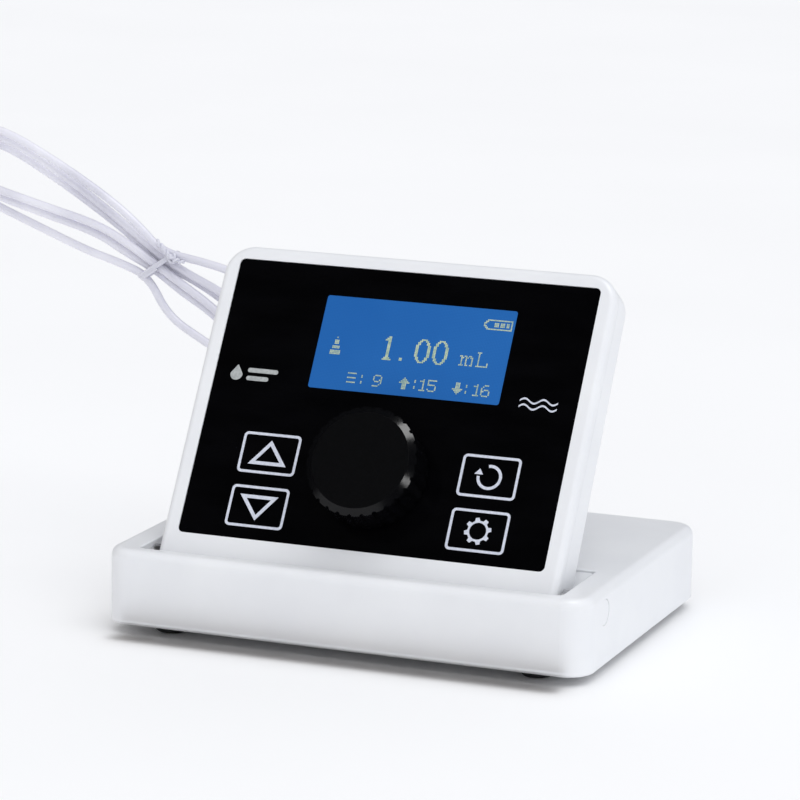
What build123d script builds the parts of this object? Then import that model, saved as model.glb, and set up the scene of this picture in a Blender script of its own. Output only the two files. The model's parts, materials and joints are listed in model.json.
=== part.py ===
from build123d import *
import math
import os

# A bench-top syringe pump: a low base that holds the drive and the syringe, and a tilting control
# head with a display, a press-and-turn knob and four keys. Millimetres, +Z up, +X to the
# operator's right, +Y to the back. The origin is on the bench, below the middle of the base.

# Base
BASE_W = 160.0
BASE_D = 114.0
BASE_TOP = 27.0
FOOT_H = 3.0
CORNER_R = 8.5
TOP_R = 3.0
WALL = 2.2
PLATE_T = 2.0
FLOOR_Z = FOOT_H + PLATE_T
FOOT_X, FOOT_Y, FOOT_R = 61.0, 46.0, 5.0
BASE_SCREW_X, BASE_SCREW_FRONT, BASE_SCREW_BACK = 73.5, -49.5, 47.0
POST_R, PILOT_R = 3.2, 1.25
VENTS, VENT_W, VENT_PITCH = 8, 2.0, 6.0
LOWER_EDGE_R = 0.8
FOOT_INTO_PLATE = 1.0
SCREW_HEAD_R, SCREW_SHANK_R, SCREW_LENGTH, SCREW_HEAD_H = 2.4, 1.2, 9.0, 0.9

# Pocket in the base's top, which the head's lower end stands in
POCKET_X = 70.0
POCKET_FRONT = -51.5
POCKET_BACK = -18.5
POCKET_FLOOR = 9.5
POCKET_WALL = 2.0
# The pocket's back wall slopes, parallel to the head's back when the head leans right back
SLOPE_ANGLE, SLOPE_GAP = 44.0, 1.95

# Head: its own frame has x to the right, v up the slope, n out of its face
TILT = 58.65
HEAD_Y = -44.9
HEAD_TOP_V = 103.0
HEAD_X = 66.3
HEAD_CORNER_R = 9.5
HEAD_TOP_T = 14.0
HEAD_EDGE_R = 2.2
AXIS_V = -3.17
AXIS_N = -8.25
HINGE_R = 8.25
PARTING_N = -4.0
SEAM = 0.12
HEAD_SCREW_X, HEAD_SCREW_LOW, HEAD_SCREW_HIGH = 59.8, 12.0, 96.0
PIVOT_R, PIVOT_BUSH_R, PIVOT_BOSS_R, CAP_R = 2.5, 3.5, 4.9, 4.0
BOSS_X0, BOSS_X1, PIN_X0, PIN_X1, CAP_X0, CAP_X1 = 71.0, 79.0, 60.5, 78.5, 78.7, 79.9
WASHER_X0, WASHER_X1, WASHER_R = 66.6, 69.9, 5.5
HINGE_Y = HEAD_Y + AXIS_V * math.cos(math.radians(TILT)) - AXIS_N * math.sin(math.radians(TILT))
HINGE_Z = BASE_TOP + AXIS_V * math.sin(math.radians(TILT)) + AXIS_N * math.cos(math.radians(TILT))

# Black front panel, display window, keys and knob on the head's face
PANEL_X = 61.05
PANEL_V0, PANEL_V1 = 4.83, 98.2
PANEL_R = 1.8
PANEL_TOP_N = -0.3
PANEL_T = 1.0
WINDOW = (-28.7, 56.8, 35.5, 88.3)
WINDOW_R = 0.9
KEYS = {
    "key_up": (-46.1, 26.7, -26.55, 40.25),
    "key_down": (-46.1, 8.85, -26.55, 22.5),
    "key_back": (27.7, 26.4, 46.9, 40.2),
    "key_settings": (27.7, 8.8, 46.9, 22.45),
}
KEY_GAP = 0.15
KEY_TRAVEL = 0.5
KNOB_V = 30.0
KNOB_R = 18.0
KNOB_FACE_R = 15.7
KNOB_EDGE_R = 0.35
KNOB_LOW_N, KNOB_SHOULDER_N, KNOB_TOP_N = 0.9, 12.7, 14.0
FLUTES, FLUTE_R, FLUTE_DEPTH = 28, 0.75, 0.6
SHAFT_R = 3.0
HEAD_VENTS, HEAD_VENT_W, HEAD_VENT_PITCH = 9, 1.8, 6.5
BOARD_N = -6.2
BOARD_T = 1.6

# Drive in the base: the syringe, the screw and the guide rod lie along X at one height
DRIVE_Z = 15.0
SCREW_Y, GUIDE_Y, SYRINGE_Y = 16.0, 25.0, 34.0
SCREW_R = 2.5
CARRIAGE_X = 10.0
CARRIAGE_T = 8.0
BARREL_R, BORE_R = 5.0, 3.65
BARREL_X0, BARREL_X1 = -52.0, 4.0
MOTOR_X0, MOTOR_X1 = -58.0, -26.0
MOTOR_R = 8.0
SUPPORT_X = 70.0
FIT = 0.05
GUIDE_R, PLUNGER_R, SHAFT_END_R, NOZZLE_R, MOTOR_SHAFT_R = 2.0, 1.5, 1.5, 0.8, 1.0
TRAY_X0, TRAY_Y0, TRAY_Y1, TRAY_T, WALL_TOP, WALL_T = -62.0, 6.0, 40.0, 1.2, 22.5, 2.0
TRAY_Z = FLOOR_Z + 0.1
SHAFT_END_X, SLEEVE_X0, SLEEVE_X1, SLEEVE_R, SCREW_X0 = -17.2, -23.0, -11.0, 4.5, -17.0
NUT_R, NUT_FLANGE_R, NUT_FLANGE_T, BUSH_R = 4.0, 5.5, 1.5, 3.5
SEAL_X0, SEAL_L = BARREL_X0 + 3.2, 5.3

# Back of the base: a recessed row of panels with two ports, the power jack and the switch
REAR_Y = BASE_D / 2
PANEL_Y0, PANEL_Y1 = 53.2, 54.7
PANEL_Z0, PANEL_Z1, PANEL_SPLIT_X = 7.5, 23.0, -50.0
BACK_WINDOW_Z0, BACK_WINDOW_Z1 = 8.5, 22.0
JACK_R, JACK_HOLE_R, JACK_PIN_R, JACK_BACK_Y, JACK_LIP_Y = 4.15, 2.9, 0.65, 41.5, 56.4
SWITCH_HALF_W, SWITCH_HALF_H, ROCKER_W, ROCKER_AXLE_R, ROCKER_AXLE_L = 3.5, 5.5, 4.8, 0.8, 6.2
BACK_SLOTS, BACK_SLOT_X, BACK_SLOT_PITCH, BACK_SLOT_W = 9, -40.0, 5.0, 1.8
PORTS = {"inlet_port": -65.5, "outlet_port": -55.5}
PORT_R, PORT_BORE_R, PORT_BORE_L = 4.2, 2.1, 6.5
JACK_X = 52.0
SWITCH_X = 65.5
PANEL_END = 72.4
WINDOW_END = 70.8
ROCKER_Y = 52.0

# White lead: an angled plug, a short run, a tied hank that stands behind the base, and a tail.
# The hank's middle line is given in x and z. Each of its six runs has its depth (y), and how far
# it lies above the middle line, at every place of that line.
CORD_D = 2.8
LEAD_ROUTE = [(18, 63, 15), (7, 63.3, 14), (-3, 63.8, 11.8), (-13, 64.4, 11.5)]
TAIL_ROUTE = [(-18, 64.8, 3.6), (-9, 65.2, 1.7), (0, 67.5, 1.6), (10, 71.5, 1.7), (20, 73.4, 1.9)]
HANK_LINE = [(-184, 126), (-160, 116.5), (-140, 107.5), (-129, 101), (-119, 95), (-108, 88.5), (-96, 81.5),
             (-76, 66), (-55, 47), (-36, 27), (-16, 11)]
HANK_DEPTHS = [
    (64.6, 64.8, 65.0, 65.3, 65.5, 65.2, 64.9, 64.6, 64.5, 64.4, 64.4),
    (64.6, 64.8, 65.2, 65.3, 65.5, 65.8, 66.0, 66.5, 67.0, 67.2, 67.2),
    (67.4, 67.5, 67.6, 67.8, 67.9, 67.5, 67.4, 67.3, 67.2, 67.2, 67.2),
    (67.4, 67.5, 67.8, 67.9, 67.9, 68.2, 68.6, 69.2, 69.8, 70.0, 70.0),
    (70.2, 70.0, 69.6, 69.0, 68.5, 69.8, 70.2, 70.2, 70.1, 70.0, 70.0),
    (70.2, 69.2, 67.6, 66.4, 65.5, 65.0, 64.8, 64.6, 64.5, 64.4, 64.4),
]
HANK_RISES = [
    (12.6, 11.3, 9.6, 7.9, 5.0, 10.4, 15.6, 15.5, 11.0, 4.0, 0.0),
    (-6.6, -3.9, -0.5, 0.2, 0.0, -0.3, -0.6, -2.5, -5.0, -7.5, -9.6),
    (9.6, 7.6, 5.0, 3.7, 2.4, 3.5, 5.5, 6.5, 7.8, 9.0, 9.6),
    (-9.6, -7.2, -4.2, -3.9, -2.5, -3.6, -3.4, -5.0, -7.0, -8.8, -9.6),
    (6.6, 4.6, 2.3, 1.6, 0.0, 1.9, 2.2, 4.0, 6.5, 8.6, 9.6),
    (-13.4, -13.0, -11.6, -7.8, -5.0, -12.2, -12.4, -7.5, -8.5, -9.0, -8.0),
]
TIE_PLACE = 4
TIE_T = 1.0

nodes = {}


def box(x0, y0, z0, x1, y1, z1):
    """A box between two corners."""
    return Pos((x0 + x1) / 2, (y0 + y1) / 2, (z0 + z1) / 2) * Box(x1 - x0, y1 - y0, z1 - z0)


def block(x0, y0, z0, x1, y1, z1, radius):
    """A box with its upright edges rounded."""
    sketch = RectangleRounded(x1 - x0, y1 - y0, radius)
    return Pos((x0 + x1) / 2, (y0 + y1) / 2, z0) * extrude(sketch, z1 - z0)


def rod_x(x0, x1, y, z, radius):
    """A cylinder along X."""
    return Pos((x0 + x1) / 2, y, z) * Rot(0, 90, 0) * Cylinder(radius, x1 - x0)


def rod_y(x, y0, y1, z, radius):
    """A cylinder along Y."""
    return Pos(x, (y0 + y1) / 2, z) * Rot(90, 0, 0) * Cylinder(radius, y1 - y0)


def rod_z(x, y, z0, z1, radius):
    """A cylinder along Z."""
    return Pos(x, y, (z0 + z1) / 2) * Cylinder(radius, z1 - z0)


def on_head(shape):
    """Moves a shape from the head's own frame to its place on the base."""
    s, c = math.sin(math.radians(TILT)), math.cos(math.radians(TILT))
    return Plane(origin=(0, HEAD_Y, BASE_TOP), x_dir=(1, 0, 0), z_dir=(0, -s, c)).location * shape


def group(*solids):
    """Separate solids that share one node."""
    return Compound(children=list(solids))


# ---- base ----


def base_outline(inset, z0, z1):
    radius = CORNER_R - inset
    half_w, half_d = BASE_W / 2 - inset, BASE_D / 2 - inset
    return block(-half_w, -half_d, z0, half_w, half_d, z1, radius)


def behind_slope(offset):
    """Everything below and behind the pocket's slope, or behind a plane that lies further down."""
    top = -(HINGE_R + SLOPE_GAP + offset)
    return Pos(0, HINGE_Y, HINGE_Z) * Rot(SLOPE_ANGLE, 0, 0) * box(-BASE_W, -60, -60, BASE_W, 60, top)


def make_base_housing():
    body = base_outline(0, FOOT_H, BASE_TOP)
    body = fillet(body.edges().group_by(Axis.Z)[-1], TOP_R)
    body = fillet(body.edges().group_by(Axis.Z)[0], LOWER_EDGE_R)
    body -= base_outline(WALL, FOOT_H - 1, BASE_TOP - WALL)
    well = POCKET_X + POCKET_WALL
    body += box(-well, POCKET_FRONT - POCKET_WALL, POCKET_FLOOR - POCKET_WALL,
                well, POCKET_BACK + POCKET_WALL, BASE_TOP - WALL)
    for side in (-1, 1):
        low, high = sorted((side * BOSS_X0, side * BOSS_X1))
        body += rod_x(low, high, HINGE_Y, HINGE_Z, PIVOT_BOSS_R)
    body -= block(-POCKET_X, POCKET_FRONT, POCKET_FLOOR, POCKET_X, POCKET_BACK, BASE_TOP + 1, 2.0)
    rim = body.edges().filter_by(lambda e: abs(e.center().Z - BASE_TOP) < 0.01
                                 and abs(e.center().X) <= POCKET_X + 0.1
                                 and POCKET_FRONT - 0.1 < e.center().Y < POCKET_BACK + 0.1)
    body = fillet(rim, 0.5)
    body += behind_slope(0) & box(-POCKET_X - 1, POCKET_FRONT, POCKET_FLOOR - 1,
                                  POCKET_X + 1, POCKET_BACK + 0.5, BASE_TOP)
    body -= behind_slope(POCKET_WALL) & box(-POCKET_X, POCKET_FRONT, POCKET_FLOOR - POCKET_WALL - 1,
                                            POCKET_X, POCKET_BACK + POCKET_WALL + 1, BASE_TOP - WALL)
    body -= rod_x(-BASE_W, BASE_W, HINGE_Y, HINGE_Z, PIVOT_R)
    for side in (-1, 1):
        low, high = sorted((side * (CAP_X0 - 0.1), side * BASE_W))
        body -= rod_x(low, high, HINGE_Y, HINGE_Z, CAP_R + 0.1)
    body -= box(-WINDOW_END, REAR_Y - 4, BACK_WINDOW_Z0, WINDOW_END, REAR_Y + 1, BACK_WINDOW_Z1)
    for x, y in mirrored(BASE_SCREW_X, BASE_SCREW_FRONT, BASE_SCREW_BACK):
        body += rod_z(x, y, FLOOR_Z, BASE_TOP - WALL, POST_R)
        body -= rod_z(x, y, FLOOR_Z - 1, FLOOR_Z + 9, PILOT_R)
    return body


def mirrored(x, y0, y1):
    """The four places left and right of the middle at two depths or heights."""
    return [(-x, y0), (x, y0), (-x, y1), (x, y1)]


def make_base_plate():
    plate = base_outline(WALL + 0.15, FOOT_H + 0.2, FLOOR_Z)
    for x, y in mirrored(BASE_SCREW_X, BASE_SCREW_FRONT, BASE_SCREW_BACK):
        plate -= rod_z(x, y, 0, FLOOR_Z + 1, 1.5)
        plate -= rod_z(x, y, 0, FOOT_H + 1.3, 2.7)
    for x, y in mirrored(FOOT_X, -FOOT_Y, FOOT_Y):
        plate -= rod_z(x, y, 0, FOOT_H + FOOT_INTO_PLATE, FOOT_R + 0.1)
    for i in range(VENTS):
        x = (i - (VENTS - 1) / 2) * VENT_PITCH
        plate -= box(x - VENT_W / 2, -4, 0, x + VENT_W / 2, 14, FLOOR_Z + 1)
    return plate


def make_feet():
    feet = []
    for x, y in mirrored(FOOT_X, -FOOT_Y, FOOT_Y):
        foot = rod_z(x, y, 0, FOOT_H + FOOT_INTO_PLATE, FOOT_R)
        feet.append(chamfer(foot.edges().group_by(Axis.Z)[0], 0.6))
    return group(*feet)


def socket_screw(length, radius, head_r, head_h):
    """A socket-head screw with its head down, at the origin, its shank up."""
    screw = rod_z(0, 0, 0, head_h, head_r) + rod_z(0, 0, head_h, head_h + length, radius)
    return screw - Pos(0, 0, -0.01) * extrude(RegularPolygon(head_r * 0.5, 6), head_h * 0.6)


def make_base_screws():
    places = mirrored(BASE_SCREW_X, BASE_SCREW_FRONT, BASE_SCREW_BACK)
    screw = socket_screw(SCREW_LENGTH, SCREW_SHANK_R, SCREW_HEAD_R, SCREW_HEAD_H)
    return group(*[Pos(x, y, FOOT_H + 0.4) * screw for x, y in places])


def make_pivot_pins():
    pins = []
    for side in (-1, 1):
        low, high = sorted((side * PIN_X0, side * PIN_X1))
        pin = rod_x(low, high, HINGE_Y, HINGE_Z, PIVOT_R)
        if side < 0:
            pin -= rod_x(low - 1, high + 1, HINGE_Y, HINGE_Z, 1.3)
        pins.append(pin)
    return group(*pins)


def make_pivot_caps():
    caps = []
    for side in (-1, 1):
        low, high = sorted((side * CAP_X0, side * CAP_X1))
        caps.append(rod_x(low, high, HINGE_Y, HINGE_Z, CAP_R))
    return group(*caps)


def make_pivot_lead():
    return rod_x(-77, -52, HINGE_Y, HINGE_Z, 1.0)


def make_washers():
    """Friction washers that hold the head at any angle."""
    washers = []
    for side in (-1, 1):
        low, high = sorted((side * WASHER_X0, side * WASHER_X1))
        hole = rod_x(low - 1, high + 1, HINGE_Y, HINGE_Z, PIVOT_R + 0.1)
        washers.append(rod_x(low, high, HINGE_Y, HINGE_Z, WASHER_R) - hole)
    return group(*washers)


# ---- drive ----


def make_drive_frame():
    """A folded steel tray with upright walls that carry the motor, the rods and the syringe."""
    frame = box(TRAY_X0, TRAY_Y0, TRAY_Z, SUPPORT_X + WALL_T, TRAY_Y1, TRAY_Z + TRAY_T)
    walls = [(MOTOR_X1, TRAY_Y0), (SUPPORT_X, TRAY_Y0), (BARREL_X0, SYRINGE_Y - 7)]
    for x0, y0 in walls:
        frame += box(x0, y0, TRAY_Z, x0 + WALL_T, TRAY_Y1, WALL_TOP)
    frame -= rod_x(MOTOR_X1 - 1, MOTOR_X1 + 3, SCREW_Y, DRIVE_Z, BUSH_R)
    frame -= rod_x(SUPPORT_X - 1, SUPPORT_X + 3, SCREW_Y, DRIVE_Z, BUSH_R)
    frame -= rod_x(MOTOR_X1 - 1, SUPPORT_X + 3, GUIDE_Y, DRIVE_Z, GUIDE_R)
    frame -= rod_x(MOTOR_X1 - 1, MOTOR_X1 + 3, SYRINGE_Y, DRIVE_Z, BARREL_R + 0.3)
    frame -= rod_x(BARREL_X0 - 1, BARREL_X0 + 2.1, SYRINGE_Y, DRIVE_Z, BARREL_R + 0.3)
    return frame


def make_drive_motor():
    body = rod_x(MOTOR_X0, MOTOR_X1 - 0.05, SCREW_Y, DRIVE_Z, MOTOR_R)
    body = chamfer(body.edges().filter_by(GeomType.CIRCLE), 0.6)
    body += rod_x(MOTOR_X1 - 0.2, MOTOR_X1 + 1.5, SCREW_Y, DRIVE_Z, 3.4)
    body -= rod_x(MOTOR_X1 - 8, MOTOR_X1 + 3, SCREW_Y, DRIVE_Z, MOTOR_SHAFT_R + FIT)
    body += box(MOTOR_X0 + 4, SCREW_Y - 10.5, 12, MOTOR_X0 + 12, SCREW_Y - 7, 18)
    return body


def make_motor_shaft():
    return rod_x(MOTOR_X1 - 7.5, SHAFT_END_X, SCREW_Y, DRIVE_Z, MOTOR_SHAFT_R)


def make_motor_coupling():
    sleeve = rod_x(SLEEVE_X0, SLEEVE_X1, SCREW_Y, DRIVE_Z, SLEEVE_R)
    sleeve -= rod_x(SLEEVE_X0 - 1, SCREW_X0, SCREW_Y, DRIVE_Z, MOTOR_SHAFT_R)
    sleeve -= rod_x(SCREW_X0, SLEEVE_X1 + 1, SCREW_Y, DRIVE_Z, SCREW_R)
    for i in range(3):
        x = SLEEVE_X0 + 2.5 * (i + 1)
        ring = rod_x(x, x + 0.6, SCREW_Y, DRIVE_Z, SLEEVE_R + 0.5)
        sleeve -= ring - rod_x(SLEEVE_X0 - 1, SLEEVE_X1 + 1, SCREW_Y, DRIVE_Z, SLEEVE_R - 0.9)
    return sleeve


def make_lead_screw():
    """A rod of the thread's outer diameter, with its end turned down for the bush."""
    screw = rod_x(SCREW_X0, SUPPORT_X - 0.5, SCREW_Y, DRIVE_Z, SCREW_R)
    screw += rod_x(SUPPORT_X - 0.6, SUPPORT_X + 2.5, SCREW_Y, DRIVE_Z, SHAFT_END_R)
    return screw


def make_screw_bush():
    outer = SUPPORT_X + WALL_T
    bush = rod_x(SUPPORT_X, outer, SCREW_Y, DRIVE_Z, BUSH_R)
    bush += rod_x(outer, outer + 1, SCREW_Y, DRIVE_Z, BUSH_R + 1)
    return bush - rod_x(SUPPORT_X - 1, outer + 2, SCREW_Y, DRIVE_Z, SHAFT_END_R + FIT)


def make_guide_rod():
    return rod_x(MOTOR_X1, SUPPORT_X + WALL_T, GUIDE_Y, DRIVE_Z, GUIDE_R)


def make_carriage():
    x0, x1 = CARRIAGE_X, CARRIAGE_X + CARRIAGE_T
    body = box(x0, 9.5, 8, x1, 39, 22)
    body = chamfer(body.edges().filter_by(Axis.X), 1.2)
    body -= rod_x(x0 - 1, x1 + 1, SCREW_Y, DRIVE_Z, NUT_R)
    body -= rod_x(x0 - 1, x1 + 1, GUIDE_Y, DRIVE_Z, GUIDE_R + FIT)
    body -= rod_x(x0 - 1, x1 + 1, SYRINGE_Y, DRIVE_Z, PLUNGER_R)
    return body


def make_drive_nut():
    x0, x1 = CARRIAGE_X, CARRIAGE_X + CARRIAGE_T
    nut = rod_x(x0 - NUT_FLANGE_T, x1, SCREW_Y, DRIVE_Z, NUT_R)
    nut += rod_x(x0 - NUT_FLANGE_T, x0 - 0.05, SCREW_Y, DRIVE_Z, NUT_FLANGE_R)
    return nut - rod_x(x0 - 3, x1 + 1, SCREW_Y, DRIVE_Z, SCREW_R + FIT)


def make_plunger_rod():
    x1 = CARRIAGE_X + CARRIAGE_T
    return rod_x(BARREL_X0 + 6, x1, SYRINGE_Y, DRIVE_Z, PLUNGER_R)


def make_plunger_seal():
    seal = rod_x(SEAL_X0, SEAL_X0 + SEAL_L, SYRINGE_Y, DRIVE_Z, BORE_R - FIT)
    groove = rod_x(BARREL_X0 + 5, BARREL_X0 + 6.2, SYRINGE_Y, DRIVE_Z, BORE_R + 1)
    seal -= groove - rod_x(BARREL_X0, BARREL_X0 + 9, SYRINGE_Y, DRIVE_Z, BORE_R - 0.6)
    return seal - rod_x(BARREL_X0 + 6, BARREL_X0 + 9, SYRINGE_Y, DRIVE_Z, PLUNGER_R)


def make_syringe_barrel():
    barrel = rod_x(BARREL_X0, BARREL_X1, SYRINGE_Y, DRIVE_Z, BARREL_R)
    barrel += rod_x(BARREL_X1 - 2, BARREL_X1, SYRINGE_Y, DRIVE_Z, BARREL_R + 1.2)
    barrel -= rod_x(BARREL_X0 + 2, BARREL_X1 + 1, SYRINGE_Y, DRIVE_Z, BORE_R)
    return barrel - rod_x(BARREL_X0 - 1, BARREL_X0 + 3, SYRINGE_Y, DRIVE_Z, NOZZLE_R)


def make_barrel_clamp():
    """A saddle that holds the glass barrel down on the tray."""
    clamp = box(-9, SYRINGE_Y - 6.6, FLOOR_Z + 1.35, -3, SYRINGE_Y + 6, 22.5)
    clamp = chamfer(clamp.edges().filter_by(Axis.X).group_by(Axis.Z)[-1], 1.5)
    return clamp - rod_x(-10, -2, SYRINGE_Y, DRIVE_Z, BARREL_R + 0.03)


def make_valve_block():
    """The block between the syringe's nozzle and the two ports."""
    manifold = box(-70, 27, 9, BARREL_X0 - 0.05, 49.4, 21)
    manifold = chamfer(manifold.edges().filter_by(Axis.Y), 0.8)
    return manifold - rod_x(-60, BARREL_X0 + 1, SYRINGE_Y, DRIVE_Z, NOZZLE_R)


def make_home_sensor():
    """A slotted optical switch that the carriage's edge passes at its home place."""
    sensor = box(CARRIAGE_X - 6, 6.4, FLOOR_Z + 1.35, CARRIAGE_X - 1, 9.2, 18)
    return chamfer(sensor.edges().group_by(Axis.Z)[-1], 0.4)


def make_battery():
    pack = box(-62, -15, FLOOR_Z + 0.5, 0, 4, 21)
    return fillet(pack.edges().filter_by(Axis.X), 2.0)


def make_power_board():
    board = box(6, -14, FLOOR_Z + 2.0, 66, 4, FLOOR_Z + 3.6)
    blocks = [(10, -11, 20, -3, 8), (24, -12, 31, -4, 10), (36, -10, 41, -5, 6), (44, -12, 60, -6, 4),
              (10, 0, 28, 3, 5)]
    for x0, y0, x1, y1, h in blocks:
        board += box(x0, y0, FLOOR_Z + 3.5, x1, y1, FLOOR_Z + 3.6 + h)
    for x, y in ((8.5, 1.5), (63.5, 1.5), (8.5, -12), (63.5, -12)):
        board += rod_z(x, y, FLOOR_Z, FLOOR_Z + 2.1, 1.8)
    return board


# ---- back panels ----


def make_port_plate():
    plate = box(-PANEL_END, PANEL_Y0, PANEL_Z0, PANEL_SPLIT_X - 0.1, PANEL_Y1, PANEL_Z1)
    for x in PORTS.values():
        plate -= rod_y(x, PANEL_Y0 - 1, PANEL_Y1 + 1, DRIVE_Z, PORT_R - 0.6)
    return plate


def make_port(x):
    """A female Luer port: a flanged body with a blind bore that opens to the back."""
    port = rod_y(x, 49.5, PANEL_Y1, DRIVE_Z, PORT_R - 0.65) + rod_y(x, PANEL_Y1, REAR_Y, DRIVE_Z, PORT_R)
    port = chamfer(port.edges().filter_by(GeomType.CIRCLE).group_by(Axis.Y)[-1], 0.4)
    return port - rod_y(x, REAR_Y - PORT_BORE_L, REAR_Y + 1, DRIVE_Z, PORT_BORE_R)


def make_rear_panel():
    plate = box(PANEL_SPLIT_X + 0.1, PANEL_Y0, PANEL_Z0, PANEL_END, PANEL_Y1, PANEL_Z1)
    plate -= rod_y(JACK_X, PANEL_Y0 - 1, PANEL_Y1 + 1, DRIVE_Z, JACK_R + FIT)
    plate -= switch_block(0.1, PANEL_Y0 - 1, PANEL_Y1 + 1)
    for i in range(BACK_SLOTS):
        x = BACK_SLOT_X + BACK_SLOT_PITCH * i
        plate -= block(x, PANEL_Y0 - 1, DRIVE_Z - 5, x + BACK_SLOT_W, PANEL_Y1 + 1, DRIVE_Z + 5,
                       BACK_SLOT_W / 2 - 0.05)
    return plate


def make_dc_jack():
    jack = box(JACK_X - 5, JACK_BACK_Y, DRIVE_Z - 5.5, JACK_X + 5, PANEL_Y0 - 0.05, DRIVE_Z + 5.5)
    jack += rod_y(JACK_X, PANEL_Y0 - 0.1, JACK_LIP_Y, DRIVE_Z, JACK_R)
    jack -= rod_y(JACK_X, JACK_BACK_Y + 2.5, JACK_LIP_Y + 1, DRIVE_Z, JACK_HOLE_R)
    return jack + rod_y(JACK_X, JACK_BACK_Y + 2, JACK_LIP_Y - 0.9, DRIVE_Z, JACK_PIN_R)


def switch_block(grow, y0, y1):
    half_w, half_h = SWITCH_HALF_W + grow, SWITCH_HALF_H + grow
    return box(SWITCH_X - half_w, y0, DRIVE_Z - half_h, SWITCH_X + half_w, y1, DRIVE_Z + half_h)


def make_switch_frame():
    frame = switch_block(0, 45, 56.2)
    frame += switch_block(0.9, PANEL_Y1 + 0.05, 56.0)
    frame -= switch_block(-0.8, 49, 58)
    half = ROCKER_AXLE_L / 2 + 0.1
    return frame - rod_x(SWITCH_X - half, SWITCH_X + half, ROCKER_Y, DRIVE_Z, ROCKER_AXLE_R + FIT)


def make_power_rocker():
    """The rocker turns about X; one half stands a little prouder than the other."""
    side = [(50.6, 13.2), (50.6, 16.8), (54.0, 18.3), (56.7, 18.6), (56.0, DRIVE_Z), (55.4, 11.4),
            (54.0, 11.5)]
    cap = extrude(Plane.YZ * make_face(Polyline(*side, close=True)), ROCKER_W)
    half = ROCKER_AXLE_L / 2
    axle = rod_x(SWITCH_X - half, SWITCH_X + half, ROCKER_Y, DRIVE_Z, ROCKER_AXLE_R)
    return Pos(SWITCH_X - ROCKER_W / 2, 0, 0) * cap + axle


# ---- head, in its own frame ----


def head_profile(inset, low_v):
    """The head's side outline, from its hinge end to its top, as a face in the v-n plane."""
    taper = HINGE_R * 2 - HEAD_TOP_T
    v1, t = HEAD_TOP_V - inset, inset
    back_low = -HINGE_R * 2 + inset
    if low_v is None:
        lines = Polyline((AXIS_V, back_low), (v1, -HEAD_TOP_T + t), (v1, -t), (AXIS_V, -t))
        arc = ThreePointArc((AXIS_V, -t), (AXIS_V - HINGE_R + inset, AXIS_N), (AXIS_V, back_low))
        return make_face(lines + arc)
    low_back = back_low + taper * (low_v - AXIS_V) / (HEAD_TOP_V - AXIS_V)
    return make_face(Polyline((low_v, low_back), (v1, -HEAD_TOP_T + t), (v1, -t), (low_v, -t), close=True))


def head_solid(inset, low_v=None):
    """The side outline run across the head's width, with its two top corners rounded."""
    x = HEAD_X - inset
    across = extrude(Plane.YZ * head_profile(inset, low_v), x, both=True)
    tall = HEAD_TOP_V - inset + 40
    front = RectangleRounded(2 * x, 2 * tall, HEAD_CORNER_R - inset)
    return across & Pos(0, -40, -30) * extrude(front, 40)


def outer_head():
    solid = head_solid(0)
    rims = [e for e in solid.edges() if on_rim(e)]
    return fillet(rims, HEAD_EDGE_R)


def on_rim(edge):
    """Whether an edge is on the head's outline, rather than a line where two faces run together."""
    c = edge.center()
    if edge.geom_type == GeomType.LINE and abs(c.X) < 1:
        return c.Y > HEAD_TOP_V - 1
    if edge.geom_type == GeomType.LINE and abs((edge @ 0).Z - (edge @ 1).Z) > HEAD_TOP_T * 0.8:
        return False
    return True


def panel_slab(inset, n0, n1):
    x0, x1 = -PANEL_X + inset, PANEL_X - inset
    return block(x0, PANEL_V0 + inset, n0, x1, PANEL_V1 - inset, n1, max(PANEL_R - inset, 0.6))


def make_head_front_shell(outer, inner):
    shell = outer & box(-80, -20, PARTING_N, 80, 120, 1)
    shell -= inner & box(-80, -20, -30, 80, 120, -2.5)
    shell -= panel_slab(0, PANEL_TOP_N - PANEL_T, 1)
    shell -= panel_slab(2.0, -10, 1)
    shell -= rod_x(-56, 56, AXIS_V, AXIS_N, 6.0)
    for x, v in mirrored(HEAD_SCREW_X, HEAD_SCREW_LOW, HEAD_SCREW_HIGH):
        post = rod_z(x, v, -9, -2.4, 2.6) & inner
        shell += post - rod_z(x, v, -10, -3.2, 1.05)
    return shell


def make_head_rear_cover(outer, inner):
    cover = outer & box(-80, -20, -30, 80, 120, PARTING_N - SEAM)
    cover -= inner
    cover -= rod_x(-56, 56, AXIS_V, AXIS_N, 6.0)
    cover -= rod_x(-80, 80, AXIS_V, AXIS_N, PIVOT_BUSH_R)
    for x, v in mirrored(HEAD_SCREW_X, HEAD_SCREW_LOW, HEAD_SCREW_HIGH):
        cover += rod_z(x, v, -15, -9.05, 2.6) & outer
        cover -= rod_z(x, v, -20, -8, 1.3)
        cover -= rod_z(x, v, -20, -11.0, 2.3)
    for i in range(HEAD_VENTS):
        x = (i - (HEAD_VENTS - 1) / 2) * HEAD_VENT_PITCH
        cover -= box(x - HEAD_VENT_W / 2, 70, -17, x + HEAD_VENT_W / 2, 88, -11)
    return cover


def make_head_screws():
    places = mirrored(HEAD_SCREW_X, HEAD_SCREW_LOW, HEAD_SCREW_HIGH)
    return group(*[Pos(x, v, -12.6) * socket_screw(6.5, 1.0, 2.0, 1.55) for x, v in places])


def key_shape(name, grow, n0, n1):
    x0, v0, x1, v1 = KEYS[name]
    return block(x0 - grow, v0 - grow, n0, x1 + grow, v1 + grow, n1, 1.5 + grow)


def make_front_lens():
    lens = panel_slab(0.12, PANEL_TOP_N - PANEL_T, PANEL_TOP_N)
    x0, v0, x1, v1 = WINDOW
    lens -= block(x0, v0, -5, x1, v1, 1, WINDOW_R)
    for name in KEYS:
        lens -= key_shape(name, KEY_GAP, -5, 1)
    return lens - rod_z(0, KNOB_V, -5, 1, 4.2)


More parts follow.
